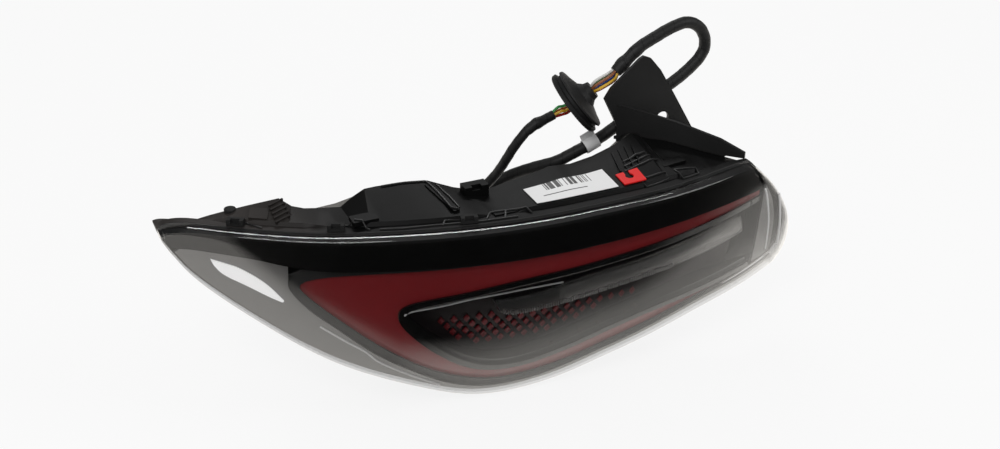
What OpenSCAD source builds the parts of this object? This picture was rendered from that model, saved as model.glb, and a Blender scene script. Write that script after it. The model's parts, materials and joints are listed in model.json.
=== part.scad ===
// Rear outer lamp for the left quarter panel of a car.
// X runs along the lamp from its pointed tip to its inner end, the lens faces -Y and Z is up.
// The origin is the centre of the main stud, in the plane where the lamp meets the car body.

/* [Lens shape] */
// Depth from the body plane to the most forward point of the lens
nose_depth = 152; // [148:1:160]
// Place along the lamp where the lens is furthest forward
nose_x = 90; // [80:1:100]
// Depth from the body plane to the lens face near its tip
tip_depth = 50; // [46:1:56]
// Depth from the body plane to the lens face near its inner end
end_depth = 128; // [124:1:132]
// Height of the most forward line of the lens
crown_z = 25; // [20:1:30]
// Radius of the lens from top to bottom
crown_r = 260; // [240:5:300]
// Wall of the clear lens
lens_wall = 3; // [2.5:0.5:4]
// Depth of the lens edge wall
skirt = 14; // [13:0.5:16]
// How far the inner end of the lens bulges out at its middle
end_bow = 19; // [12:1:22]

/* [Layers behind the lens] */
// Air gap between neighbouring layers
layer_gap = 0.3; // [0.2:0.1:0.5]
// Thickness of the black border
border_t = 1.6; // [1.4:0.2:2.4]
// Thickness of the silver bezel
bezel_t = 2; // [1.6:0.2:2.6]
// Thickness of the dark frame round the red lens
frame_t = 2; // [1.5:0.5:2.5]
// Thickness of the red lens
red_t = 4; // [3:0.5:5]
// Thickness of the light guide behind the red lens
guide_t = 3; // [2:0.5:4]
// Thickness of the reflector behind the light guide
reflector_t = 2; // [1.5:0.5:2.5]
// Thickness of the strip that carries the tail lamp diodes
strip_t = 1; // [0.8:0.1:1.6]
// Depth of the window bezel wall
tub_depth = 20; // [19:0.5:22]
// Thickness of the patterned plate in the window
plate_t = 2.5; // [2:0.5:3]
// Width of one red gem on the plate
gem_w = 6; // [5:0.5:6.5]
// Height of one red gem on the plate
gem_h = 8.5; // [7:0.5:9]
// Distance from gem to gem along a row
gem_pitch = 10; // [9.5:0.5:12]
// Distance from row to row
row_pitch = 6.5; // [6:0.5:8]

/* [Light blade] */
// Depth of the clear blade behind the lens face
blade_depth = 15; // [14:0.5:16]
// Thickness of the clear blade, front to back
blade_t = 8; // [6:0.5:9]

/* [Housing] */
// Wall of the housing
housing_wall = 2.5; // [2:0.5:3]
// Distance from the housing back wall to the body plane
boss_h = 8; // [7:0.5:9]
// Width of the housing rim that carries the lens
rim_w = 6; // [5:0.5:7]
// Length of the shelf behind the lens edge
shelf = 8; // [7:0.5:9]
// Height of the step behind the shelf
step_h = 2.5; // [1.5:0.5:3]
// Room for the sealing bead between lens and housing
bead_room = 2; // [1.6:0.2:2.4]
// Clearance of the sealing bead on either side
bead_fit = 0.3; // [0.2:0.1:0.4]

/* [Mounts] */
// Thread diameter of the fixing studs
stud_d = 6; // [5:1:8]
// Length of the fixing studs outside the lamp
stud_l = 24; // [18:1:30]
// Diameter of the stud root inside its boss
root_d = 9; // [8.5:0.5:11]
// Depth of the stud root inside its boss
root_l = 6; // [4:0.5:6.5]
// Outer diameter of the stud bosses
boss_d = 20; // [18:1:24]
// Distance of the inner stud along the lamp
inner_stud_x = 112; // [105:1:120]
// Height of the inner stud
inner_stud_z = -22; // [-26:1:-16]
// Place of the ball pin along the lamp
ball_x = -150; // [-155:1:-140]
// Height of the ball pin
ball_z = 24; // [20:1:28]
// Diameter of the ball on the ball pin
ball_d = 10; // [8:1:12]
// Length of the ball pin to the centre of its ball
ball_l = 16; // [14:1:22]
// Outer diameter of the foam washers
foam_d = 34; // [30:1:38]
// How far the foam washers stand over the body plane
foam_over = 1; // [0.5:0.5:2]
// Clearance of a part in its hole
fit = 0.3; // [0.2:0.1:0.4]

/* [Side bracket] */
// Plate thickness of the side bracket
bracket_t = 3; // [2.5:0.5:4]
// Diameter of the bolt hole in the ear
bolt_hole_d = 12; // [8:1:14]
// Place of the bolt hole along the lamp
bolt_x = 217; // [214:1:219]
// Height of the bolt hole
bolt_z = 72; // [70:1:76]
// Face of the ear in front of the body plane
ear_y = -25; // [-27:1:-22]
// Shank diameter of the bracket screws
screw_d = 4; // [3:0.5:5]
// Head diameter of the bracket screws
screw_head_d = 9; // [8:0.5:10]

/* [Harness] */
// Diameter of the taped lead
lead_d = 10.5; // [9:0.5:12]
// Diameter of the thinner taped lead after the grommet
tail_lead_d = 8.5; // [7:0.5:9]
// Diameter of one wire
wire_d = 2.4; // [2:0.2:2.8]
// Outer diameter of the body grommet
grommet_d = 58; // [50:1:62]
// Length of the grommet cone
grommet_l = 17; // [14:1:20]
// Length of the connector at the end of the harness
plug_l = 34; // [28:1:40]

/* [Hidden] */

// Lens outline from tip to inner end, seen from the front, one point of each edge for each station
lens_top = [[-220, 59], [-214, 64], [-198, 67], [-162, 66], [-112, 64.5], [-55, 65],
    [5, 65], [65, 65], [125, 65.5], [185, 65.5], [225, 65.5], [250, 63]];
lens_low = [[-220, 55], [-214, 44], [-198, 23], [-162, -8], [-112, -46], [-55, -76],
    [5, -100], [65, -97], [125, -78], [195, -59], [262, -54], [303, -52]];
last = len(lens_top) - 1;
lens_run = 560;
// Runs from the nose at which the tip depth and the end depth hold; the sweep to the end starts later
tip_run = 300;
end_run = 130;
end_flat = 30;
end_corner = skirt - 2;
tip_corner = 6;
edge_r = 3;

// Depth of each layer behind the front face of the lens
border_y = lens_wall + layer_gap;
bezel_y = border_y + border_t + layer_gap;
frame_y = bezel_y + bezel_t + layer_gap;
red_y = frame_y + frame_t + layer_gap;
guide_y = red_y + red_t + layer_gap;
reflector_y = guide_y + guide_t + layer_gap;
strip_y = reflector_y + reflector_t + layer_gap;

// The window bezel and the plate behind it come forward where the housing narrows at the inner end
tub_taper = 2.8;
tub_end_x = 190;
function tub_at(x) = tub_depth - tub_taper * pow(max(0, x - tub_end_x), 2) / 1000;
function plate_y(x) = frame_y + tub_at(x) + layer_gap;

// Lower edge of the black border, from tip to inner end, one point for each station of the lens
border_low = [[-220, 56.5], [-213, 50], [-197, 50], [-162, 46.5], [-118, 38.5], [-55, 37.5],
    [5, 37], [65, 37], [125, 38], [185, 40], [235, 40], [266, 38.5]];

// Inner edge of the silver bezel: station on the lens lower edge, then place
bezel_rail = [[1.2, -207, 50], [1.5, -200, 51.5], [2, -187, 51.5], [2.5, -167, 50], [3.05, -141, 46.5],
    [3.3, -138.5, 34], [3.45, -138.5, 21], [3.7, -126, 3], [4, -108, -14], [4.5, -80, -41],
    [5, -52, -62], [5.5, -22, -81], [6, 7, -91.5], [6.5, 36, -92.5], [7, 66, -88], [8, 126, -69],
    [9, 196, -50], [10, 258, -45.5], [10.8, 292, -43.5]];
bezel_inset = 5;

// White insert in the leaf of the silver bezel, upper and lower edge
insert_top = [[-189, 43.5], [-180, 41], [-169, 37], [-154, 26], [-143, 12]];
insert_low = [[-188, 40], [-182, 32], [-167, 23.5], [-152, 14.5], [-144, 10.5]];

// The red C from its upper inner end round the nose: outer edge, frame outer edge, window edge
c_out = [[262, 38], [211, 39], [150, 38], [90, 36], [30, 36], [-30, 36], [-85, 35], [-119, 31.5],
    [-133, 24], [-126, 11], [-100, -15], [-68, -44], [-30, -71], [10, -87], [45, -88], [85, -80.5],
    [122, -68], [160, -57.5], [200, -48.5], [225, -45.5]];
c_frame = [[262, 42], [211, 43], [150, 42], [90, 40], [30, 40], [-30, 40], [-88, 39.5], [-126, 38],
    [-142, 26], [-134, 6], [-108, -20], [-75, -50], [-34, -77.5], [10, -93.5], [48, -93.5], [88, -85.5],
    [125, -71.5], [163, -61.5], [203, -51.5], [232, -48.5]];
c_in = [[262, 28], [216, 26], [150, 21.5], [90, 17], [31, 14], [-15, 8.5], [-45, 4.5], [-58, 0],
    [-61, -6], [-58, -15], [-47, -29], [-31, -45], [-9, -63], [14, -72], [42, -73], [80, -64],
    [118, -52], [155, -44], [193, -40.5], [222, -40]];
c_window = [[262, 21], [216, 19], [150, 15], [90, 10.5], [31, 7.5], [-13, 2.5], [-38, -1.5],
    [-49, -3.5], [-53, -8], [-50, -15], [-41, -26], [-27, -40], [-6, -56], [16, -65], [42, -66],
    [78, -57.5], [116, -46], [155, -38], [205, -34.5], [258, -33]];
c_lip = [[262, 30], [216, 28], [150, 23.5], [90, 19], [31, 16], [-16, 10.5], [-47, 6.5], [-60, 1.5],
    [-63, -6], [-60, -16], [-49, -30.5], [-33, -47], [-10, -65], [13, -74], [42, -75], [80, -66],
    [118, -54], [155, -46], [207, -42.5], [262, -42]];

// Trim that closes the view behind the inner end of the lens, inner and outer edge from top to bottom
end_in = [[267, 35], [265, 20], [264, 0], [264, -20], [265, -39]];
end_out = [[270, 36], [280, 20], [287, 0], [290, -20], [291, -39]];
half = floor(len(c_window) / 2);

// Blade in the window, upper and lower edge from its free end to the inner end
blade_top = [[14, -7], [30, -7.5], [60, -5.5], [95, -0.5], [140, 3], [185, 7], [225, 10.5], [246, 12]];
blade_low = [[18, -17], [30, -20.5], [60, -19.5], [95, -16.5], [140, -12], [185, -9], [225, -6.5],
    [250, -4.5]];

// Back of the housing by lens station: rise of the ridge over the lens top, its depth behind the rim,
// drop and lift of the back wall from the lens edges, and how much the shelf is squeezed
ridge_rise = [[0, -1], [1, -6], [2, -6], [3, 5], [3.67, 10.5], [3.87, 2], [4.5, -2], [4.67, 5],
    [4.83, 10], [5.33, 11], [5.67, 10], [6, 2], [6.33, -2], [6.67, 2], [7.17, 5.5], [7.33, 7.5],
    [7.67, 5], [8, 7], [8.33, 12], [8.67, 16], [8.83, 11], [9, 3], [10, -3], [11, -5]];
ridge_back = [[0, 10], [1, 6], [2, 9.5], [3, 23.5], [3.67, 36.5], [4, 39.5], [5, 56.5], [5.67, 61], [6, 60.5],
    [6.5, 55.5], [7, 58.5], [8, 63], [8.33, 64], [8.67, 69.5], [9, 79], [10, 48], [11, 19]];
back_drop = [[0, 1.2], [1, 9], [2, 17], [3, 13], [3.67, 14], [4, 24], [5, 22], [5.67, 25], [6, 34],
    [6.5, 40], [7, 42], [8, 40], [8.33, 36], [8.58, 28], [8.72, 8], [8.83, 0], [9, -1], [10, 4], [11, 6]];
back_lift = [[0, 1.2], [1, 6], [2, 14], [3, 20], [4, 28], [5, 34], [6, 48], [7, 48], [8, 36],
    [9, 18], [10, 10], [11, 6]];
squeeze = [[0, 0.5], [2, 1], [9, 1], [11, 0.35]];

// The slanted inner side of the housing, seen from above: front end and rear end
side_depth = 23.5;
side_front = [250, plan(250) + side_depth];
side_rear = [172, -25];

// Stations that all long pieces of the lamp share, given along the lens
end_steps = [0, 1, 3.5, 7, 12, 18];
stations = concat([for (e = end_steps) e / lens_run], [for (i = [3:63]) i / 66],
    [for (i = [len(end_steps) - 1:-1:0]) 1 - end_steps[i] / lens_run]);
plain_stations = [for (i = [0:48]) i / 48];

// Harness routes, chosen by hand
boot_at = [62, -6];
boot_l = 20;
lead_a_route = [[62, 12, -6], [62, 20, -6], [65, 28, -3], [73, 31, 4], [84, 28, 13], [97, 20, 22],
    [111, 8, 31], [126, -4, 39], [141, -9, 47], [156, -10, 53], [171, -10, 60], [187, -10, 69],
    [204, -10, 80], [221, -10, 90], [238, -10, 99], [250, -10, 107], [259, -10, 115], [264, -10, 124],
    [263, -10, 135], [256, -10, 145], [244, -10, 150], [229, -10, 147], [214, -10, 141],
    [201, -10, 135], [188, -10, 125], [177, -11, 116]];
grommet_at = [141, -10, 95];
grommet_turn = [0, 52, -20];
grommet_dir = [sin(52) * cos(-20), sin(52) * sin(-20), cos(52)];
lead_b_route = [[121, -7, 85], [113, -7, 82], [104, -7, 79], [96, -7, 74], [90, -6, 67],
    [85, -4, 59], [81, -2, 51], [77, 1, 42], [73, 5, 33], [67, 9, 24], [59, 11, 16], [51, 12, 8],
    [44, 13, -1], [38, 14, -10], [32, 14, -18]];
plug_w = 20;
plug_h = 17;

// Catmull-Rom value of a list of points at place k, counted in points
function knot(p, i) = p[max(0, min(len(p) - 1, i))];
function spline(a, b, c, d, t) = 0.5 * (2 * b + (c - a) * t + (2 * a - 5 * b + 4 * c - d) * t * t
    + (3 * b - a - 3 * c + d) * t * t * t);
function at(p, k) = let (i = max(0, min(len(p) - 2, floor(k))))
    spline(knot(p, i - 1), knot(p, i), knot(p, i + 1), knot(p, i + 2), k - i);
function along(p, s) = at(p, s * (len(p) - 1));
function lerp(a, b, t) = a + (b - a) * t;

// Front face of the lens as a height over the lamp's X and Z
function plan(x) = -nose_depth + (nose_depth - tip_depth) * pow(max(0, nose_x - x) / tip_run, 2.2)
    + (nose_depth - end_depth) * pow(max(0, x - nose_x - end_flat) / end_run, 2);
function face_y(x, z) = plan(x) + pow(z - crown_z, 2) / (2 * crown_r);

// Point between two edges: share w of the way, then off mm further, at depth d behind the face
function between(a, b, w, off) = let (span = norm(b - a), cap = 0.3 * span)
    lerp(a, b, w) + (b - a) / span * sign(off) * min(abs(off), abs(off) > 0 && off * (0.5 - w) > 0 ? cap
    : abs(off));
function on_face(a, b, w, off, d) = let (p = between(a, b, w, off)) [p[0], face_y(p[0], p[1]) + d, p[1]];
function at_depth(a, b, w, off, y) = let (p = between(a, b, w, off)) [p[0], y, p[1]];

// The lens edges at share s of its run, and the bulge of its inner end
function top_at(s) = along(lens_top, s);
function low_at(s) = along(lens_low, s);
function bow(s, w) = [end_bow * 4 * w * (1 - w) * pow(max(0, s - 0.7) / 0.3, 2), 0, 0];
function rounded(e, r) = e >= r ? 0 : r - sqrt(r * r - (r - e) * (r - e));
function end_fall(s) = rounded((1 - s) * lens_run, end_corner) + rounded(s * lens_run, tip_corner);
function hollow(s, tip = lens_wall) = s * lens_run >= tip && (1 - s) * lens_run >= lens_wall ? 1 : 0;

// Solid skin through rings of equal count; the ends close flat, or between points and their mates
module skin(rings, mates = []) {
    n = len(rings[0]);
    m = len(rings);
    e = (m - 1) * n;
    sides = [for (i = [0:m - 2], j = [0:n - 1])
        let (a = i * n + j, b = i * n + (j + 1) % n, c = b + n, d = a + n) each [[a, b, c], [a, c, d]]];
    flat = [[for (j = [n - 1:-1:0]) j], [for (j = [0:n - 1]) e + j]];
    pairs = [for (j = [0:len(mates) - 2]) let (a = j, b = j + 1, c = mates[b], d = mates[a])
        each concat([[d, b, a], [e + a, e + b, e + d]], c == d ? [] : [[c, b, d], [e + b, e + c, e + d]])];
    polyhedron([for (r = rings) each r], concat(sides, len(mates) > 0 ? pairs : flat));
}

// Solid skin through rings that close on themselves
module closed_skin(rings) {
    n = len(rings[0]);
    m = len(rings);
    sides = [for (i = [0:m - 1], j = [0:n - 1])
        let (k = (i + 1) % m, a = i * n + j, b = i * n + (j + 1) % n, c = k * n + (j + 1) % n,
            d = k * n + j) each [[a, b, c], [a, c, d]]];
    polyhedron([for (r = rings) each r], sides);
}

// Curved strip between two edges, with its front and back at two depths behind the lens face
module strip(edge_a, edge_b, front, back, across = 3, steps = plain_stations) {
    skin([for (s = steps) let (a = along(edge_a, s), b = along(edge_b, s)) concat(
        [for (j = [0:across]) on_face(a, b, j / across, 0, front)],
        [for (j = [across:-1:0]) on_face(a, b, j / across, 0, back)])]);
}

// Round cord through a list of points
function direction(p, i) = let (v = knot(p, i + 1) - knot(p, i - 1)) v / norm(v);
function side_of(t, up) = let (v = cross(t, up)) v / norm(v);
module cord(route, d, sides, up = [0, 1, 0.05]) {
    skin([for (i = [0:len(route) - 1])
        let (t = direction(route, i), u = side_of(t, up), v = cross(t, u))
        [for (k = [0:sides - 1]) route[i] + d / 2 * (u * cos(360 * k / sides) + v * sin(360 * k / sides))]]);
}

// Clear outer lens with its edge wall, moulded in one piece
face_w = [0.12, 0.24, 0.37, 0.5, 0.63, 0.76, 0.88];
module outer_lens() {
    color([0.75, 0.77, 0.78, 0.35])
    skin([for (s = stations)
        let (a = top_at(s), b = low_at(s), f = end_fall(s), w = lens_wall,
            inner = lerp(skirt, min(skirt, f + w), hollow(s)))
        concat(
            [on_face(a, b, 0, 0, skirt), on_face(a, b, 0, 0, max(edge_r, f + 0.8)),
                on_face(a, b, 0, 0.9, max(0.9, f + 0.4)), on_face(a, b, 0, edge_r, f)],
            [for (j = face_w) on_face(a, b, j, 0, f) + bow(s, j)],
            [on_face(a, b, 1, -edge_r, f), on_face(a, b, 1, -0.9, max(0.9, f + 0.4)),
                on_face(a, b, 1, 0, max(edge_r, f + 0.8)), on_face(a, b, 1, 0, skirt),
                on_face(a, b, 1, -w, skirt), on_face(a, b, 1, -w, inner)],
            [for (j = [6:-1:0]) on_face(a, b, face_w[j], 0, inner) + bow(s, face_w[j])],
            [on_face(a, b, 0, w, inner), on_face(a, b, 0, w, skirt)])],
        [25, 25, 24, 24, 23, 22, 21, 20, 19, 18, 17, 16, 16, 15, 15]);
}

// Black border moulded behind the upper part of the lens, with a leg behind the edge wall
module lens_border() {
    inset = lens_wall + layer_gap;
    leg = skirt - 1;
    color([0.03, 0.03, 0.035])
    skin([for (i = [0:60])
        let (s = 0.055 + 0.92 * i / 60, a = top_at(s), b = along(border_low, s), y = border_y, t = border_t)
        concat(
            [on_face(a, b, 0, inset, leg), on_face(a, b, 0, inset, y)],
            [for (j = [0.25, 0.5, 0.75, 1]) on_face(a, b, j, 0, y)],
            [for (j = [1, 0.75, 0.5, 0.25]) on_face(a, b, j, 0, y + t)],
            [on_face(a, b, 0, inset + t, y + t), on_face(a, b, 0, inset + t, leg)])]);
}

// Silver bezel: a broad leaf at the tip that narrows to a rim under the window
function bezel_edge(t) = let (r = along(bezel_rail, t), k = r[0] / last)
    [[r[1], r[2]], between(low_at(k), top_at(k), 0, bezel_inset)];
module silver_bezel() {
    color([0.55, 0.55, 0.54])
    skin([for (i = [0:72]) let (e = bezel_edge(i / 72)) concat(
        [for (j = [0:5]) on_face(e[0], e[1], j / 5, 0, bezel_y)],
        [for (j = [5:-1:0]) on_face(e[0], e[1], j / 5, 0, bezel_y + bezel_t)])]);
}

// White side light insert that lies on the leaf of the bezel
module side_light_insert() {
    insert_t = 1.6;
    color("white")
    strip(insert_top, insert_low, bezel_y - layer_gap - insert_t, bezel_y - layer_gap, 2,
        [for (i = [0:16]) i / 16]);
}

// Dark frame that follows the outer edge of the red C and laps over it by 2 mm
module red_frame() {
    lap = 2;
    color([0.2, 0.2, 0.2])
    skin([for (s = plain_stations)
        let (a = along(c_frame, s), b = along(c_out, s), n = norm(b - a), w = 1 + lap / n)
        concat(
            [for (j = [0, 0.5, 1]) on_face(a, b, j * w, 0, frame_y + 0.5 - 0.5 * j)],
            [for (j = [1, 0.5, 0]) on_face(a, b, j * w, 0, frame_y + frame_t)])]);
}

// Red lens of the tail lamp, shaped as a C that is open to the inner end
module red_lens() {
    color([0.6, 0.05, 0.07])
    strip(c_out, c_in, red_y, red_y + red_t, 4, [for (i = [0:60]) i / 60]);
}

// Share of the way in from either edge of the C for the parts behind it
function inner_c(s, w) = lerp(along(c_out, s), along(c_in, s), w);
module behind_c(front, back) {
    skin([for (i = [0:44]) let (s = 0.02 + 0.96 * i / 44, a = inner_c(s, 0.12), b = inner_c(s, 0.88))
        [for (p = [[0, front], [0.5, front], [1, front], [1, back], [0.5, back], [0, back]])
            on_face(a, b, p[0], 0, p[1])]]);
}
module tail_light_guide() {
    color([0.9, 0.9, 0.9, 0.6]) behind_c(guide_y, guide_y + guide_t);
}
module tail_reflector() {
    color([0.92, 0.92, 0.9]) behind_c(reflector_y, reflector_y + reflector_t);
}
module tail_led_strip() {
    color([0.1, 0.35, 0.2]) behind_c(strip_y, strip_y + strip_t);
}

// Black gloss bezel of the window: a lip that laps over the red lens, and a wall that runs back
module window_bezel() {
    lip_t = 2;
    wall_t = 2;
    color([0.04, 0.04, 0.045])
    skin([for (i = [0:56])
        let (s = i / 56, a = along(c_lip, s), b = along(c_window, s), y = frame_y, n = norm(b - a))
        [on_face(a, b, 0, 0, y), on_face(a, b, 0.55, 0, y + 0.4), on_face(a, b, 0.62, 0, y + 4),
            on_face(a, b, 1, 0, y + 5), on_face(a, b, 1, 0, y + tub_at(b[0])),
            on_face(a, b, 1 - wall_t / n, 0, y + tub_at(b[0])), on_face(a, b, 1 - wall_t / n, 0, y + 5.4),
            on_face(a, b, 0.45, 0, y + 4.8), on_face(a, b, 0.38, 0, y + lip_t),
            on_face(a, b, 0, 0, y + lip_t)]]);
}

// Dark trim at the inner end, with a wall that runs back along its outer edge
module end_trim() {
    back = frame_y + frame_t + 1.5;
    wall_w = 0.85;
    color([0.15, 0.15, 0.16])
    skin([for (i = [0:14])
        let (s = i / 14, a = along(end_in, s), b = along(end_out, s))
        [on_face(a, b, 0, 0, frame_y), on_face(a, b, 0.5, 0, frame_y - 0.5),
            on_face(a, b, 1, 0, frame_y + 1), on_face(a, b, 1, 0, back), on_face(a, b, wall_w, 0, back),
            on_face(a, b, wall_w, 0, frame_y + frame_t + 0.5), on_face(a, b, 0, 0, frame_y + frame_t)]]);
}

// Upper and lower edge of the patterned plate, which laps over the end of the window bezel wall
plate_lap = 1.5;
plate_top = [for (i = [half - 1:-1:0]) c_window[i] + [i > half - 3 ? -plate_lap : 0, plate_lap]];
plate_low = [for (i = [half:len(c_window) - 1]) c_window[i] - [i < half + 2 ? plate_lap : 0, plate_lap]];
module pattern_plate() {
    across = 6;
    reach = 0.95;
    color([0.06, 0.05, 0.055])
    skin([for (s = reach * plain_stations) let (a = along(plate_top, s), b = along(plate_low, s)) concat(
        [for (j = [0:across])
            let (x = lerp(a[0], b[0], j / across)) on_face(a, b, j / across, 0, plate_y(x))],
        [for (j = [across:-1:0])
            let (x = lerp(a[0], b[0], j / across)) on_face(a, b, j / across, 0, plate_y(x) + plate_t)])]);
}

// Red gems in staggered rows on the lower part of the plate
gem_t = 1.4;
gem_rows = 5;
gem_cols = 20;
gem_x0 = -34;
gem_z0 = -25;
gem_room = 4;
window_low = [for (i = [half:len(c_window) - 1]) c_window[i]];
function gem_low(x) = lookup(x, window_low) + gem_room;
function gem_high(x) = -24 - 0.04 * max(0, x);
function slope_x(x, z) = (face_y(x + 0.5, z) - face_y(x - 0.5, z));
function slope_z(x, z) = (z - crown_z) / crown_r;
module gem(x, z) {
    translate([x, face_y(x, z) + plate_y(x) - layer_gap, z])
    rotate([-atan(slope_z(x, z)), 0, atan(slope_x(x, z))])
    rotate([90, 0, 0])
    linear_extrude(gem_t) polygon([[0, -gem_h / 2], [gem_w / 2, 0], [0, gem_h / 2], [-gem_w / 2, 0]]);
}
module gems() {
    color([0.45, 0.03, 0.05])
    for (r = [0:gem_rows - 1], c = [0:gem_cols - 1])
        let (x = gem_x0 + gem_pitch * (c + 0.5 * (r % 2)), z = gem_z0 - row_pitch * r)
        if (z > gem_low(x) + gem_h / 2 && z < gem_high(x)) gem(x, z);
}

// Clear light blade across the window, thicker along its lower edge
module light_blade() {
    color([0.8, 0.82, 0.84, 0.5])
    skin([for (i = [0:36])
        let (s = i / 36, a = along(blade_top, s), b = along(blade_low, s), y = blade_depth,
            t = min(blade_t, plate_y(b[0]) - y - 4 * layer_gap))
        [on_face(a, b, 0, 0, y + 2), on_face(a, b, 0.15, 0, y + 0.6), on_face(a, b, 0.5, 0, y),
            on_face(a, b, 0.85, 0, y), on_face(a, b, 1, 0, y + 1), on_face(a, b, 1, 0, y + t),
            on_face(a, b, 0.5, 0, y + t), on_face(a, b, 0, 0, y + t)]]);
}

// Dark holder that carries the blade on the patterned plate
module blade_holder() {
    color([0.1, 0.1, 0.1])
    skin([for (i = [0:30])
        let (s = 0.03 + 0.8 * i / 30, a = along(blade_top, s), b = along(blade_low, s),
            y = blade_depth + blade_t + layer_gap, back = plate_y(b[0]) - layer_gap)
        [on_face(a, b, 0.15, 0, y), on_face(a, b, 0.85, 0, y), on_face(a, b, 0.7, 0, back),
            on_face(a, b, 0.3, 0, back)]]);
}

// Turns a shape drawn in X and Z so that it is as thick as t behind depth y
module upright(y, t) {
    translate([0, y + t, 0]) rotate([90, 0, 0]) linear_extrude(t) children();
}

// Post or hole along Y from one depth to another
module rod(x, z, y0, y1, d) {
    translate([x, y1, z]) rotate([90, 0, 0]) cylinder(h = y1 - y0, d = d, $fn = 48);
}

// Moulded carrier on posts that stand on the back wall, with the boards in front of and behind it
carrier_t = 2.5;
carrier_y = -60;
post_d = 9;
board_t = 1.6;
sink_base = 3;
fin_h = 7;
board_corners = [[-58, -34], [-58, 6], [92, 6], [92, -34]];
board_posts = [[-48, -26], [-48, 0], [82, -26], [82, 0]];
carrier_outline = [[-72, -20], [-60, -40], [30, -44], [96, -40], [104, -14], [96, 12], [30, 18], [-60, 12]];
carrier_posts = [[-66, -14], [34, -36], [34, 12], [98, -14]];
back_inner = -boss_h - housing_wall;
module carrier() {
    color([0.12, 0.12, 0.12])
    difference() {
        union() {
            upright(carrier_y, carrier_t) polygon(carrier_outline);
            for (p = carrier_posts)
                rod(p[0], p[1], carrier_y + carrier_t - 0.5, back_inner - layer_gap, post_d);
        }
        for (p = board_posts) rod(p[0], p[1], carrier_y - 1, carrier_y + carrier_t + 1, screw_d);
    }
}

// Aluminium heat sink whose fins stand on the carrier
module heat_sink() {
    sink_y = carrier_y - layer_gap - fin_h - sink_base;
    fin_t = 1.6;
    fin_pitch = 9.2;
    color([0.75, 0.75, 0.76])
    difference() {
        union() {
            upright(sink_y, sink_base) polygon(board_corners);
            for (i = [0:16])
                translate([-58 + fin_pitch * i, sink_y + sink_base - 0.5, -34])
                cube([fin_t, fin_h + 0.5, 40]);
        }
        for (p = board_posts) rod(p[0], p[1], sink_y - 1, sink_y + sink_base + fin_h + 1, screw_d + 3);
    }
}

// Main diode board, flat on the heat sink, with its diodes
module main_board() {
    board_y = carrier_y - 2 * layer_gap - fin_h - sink_base - board_t;
    color([0.1, 0.4, 0.25])
    difference() {
        union() {
            upright(board_y, board_t) polygon(board_corners);
            for (i = [0:9], z = [-24, -6])
                translate([-38 + 13 * i, board_y - 1.5, z]) cube([4, 1.6, 4]);
        }
        for (p = board_posts) rod(p[0], p[1], board_y - 1, board_y + board_t + 1, screw_d);
    }
}

// Driver board behind the carrier
module driver_board() {
    driver_y = carrier_y + carrier_t + layer_gap;
    color([0.1, 0.4, 0.25])
    union() {
        upright(driver_y, board_t) polygon([[-20, -24], [-20, -2], [26, -2], [26, -24]]);
        translate([-14, driver_y + board_t - 0.1, -20]) cube([12, 5.1, 12]);
        translate([6, driver_y + board_t - 0.1, -18]) cube([14, 8.1, 9]);
    }
}

// Loop of points that runs round the lens outline, e mm inside it
function rim_s(s, e) = e / lens_run + s * (1 - 2 * e / lens_run);
function rim_loop(e, d) = concat(
    [for (s = stations) let (k = rim_s(s, e)) on_face(top_at(k), low_at(k), 0, e, d)],
    [for (w = face_w)
        let (k = rim_s(1, e)) on_face(top_at(k), low_at(k), w, 0, d) + bow(k, w)],
    [for (i = [len(stations) - 1:-1:0]) let (k = rim_s(stations[i], e))
        on_face(top_at(k), low_at(k), 1, -e, d)]);
module seal_bead() {
    outer = 0.5;
    inner = lens_wall - 0.3;
    front = skirt + bead_fit;
    back = skirt + bead_room - bead_fit;
    a = rim_loop(outer, front);
    b = rim_loop(inner, front);
    c = rim_loop(inner, back);
    d = rim_loop(outer, back);
    color([0.15, 0.15, 0.15]) closed_skin([for (i = [0:len(a) - 1]) [a[i], b[i], c[i], d[i]]]);
}

// Depth of the back wall, which turns into the slanted side near the inner end
function side_y(x) = lerp(side_front[1], side_rear[1], (side_front[0] - x) / (side_front[0] - side_rear[0]));
function rim_y(p) = face_y(p[0], p[1]) + skirt + bead_room;
function back_y(p, q, out = 0) = min(-boss_h, max(side_y(p[0] + out), rim_y(p) + (shelf + 5) * q));

// Points of the sloping housing top at station k: end of the shelf, foot of the slope and ridge
function shelf_point(k) = let (a = at(lens_top, k), q = lookup(k, squeeze))
    [a[0], rim_y(a) + shelf * q, a[1] - 0.5];
function foot_point(k) = let (a = at(lens_top, k), q = lookup(k, squeeze))
    [a[0], rim_y(a) + (shelf + 2) * q, a[1] + min(step_h, lookup(k, ridge_rise))];
function back_top(k) = between(at(lens_top, k), at(lens_low, k), 0, lookup(k, back_drop));
function ridge_point(k) =
    let (a = at(lens_top, k), q = lookup(k, squeeze), f = foot_point(k), y = back_y(back_top(k), q) - q)
    [a[0], min(max(rim_y(a) + lookup(k, ridge_back), f[1] + 1.5 * q), y), a[1] + lookup(k, ridge_rise)];
function top_point(k, share, lift) = lerp(foot_point(k), ridge_point(k), share) + [0, 0, lift];

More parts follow.
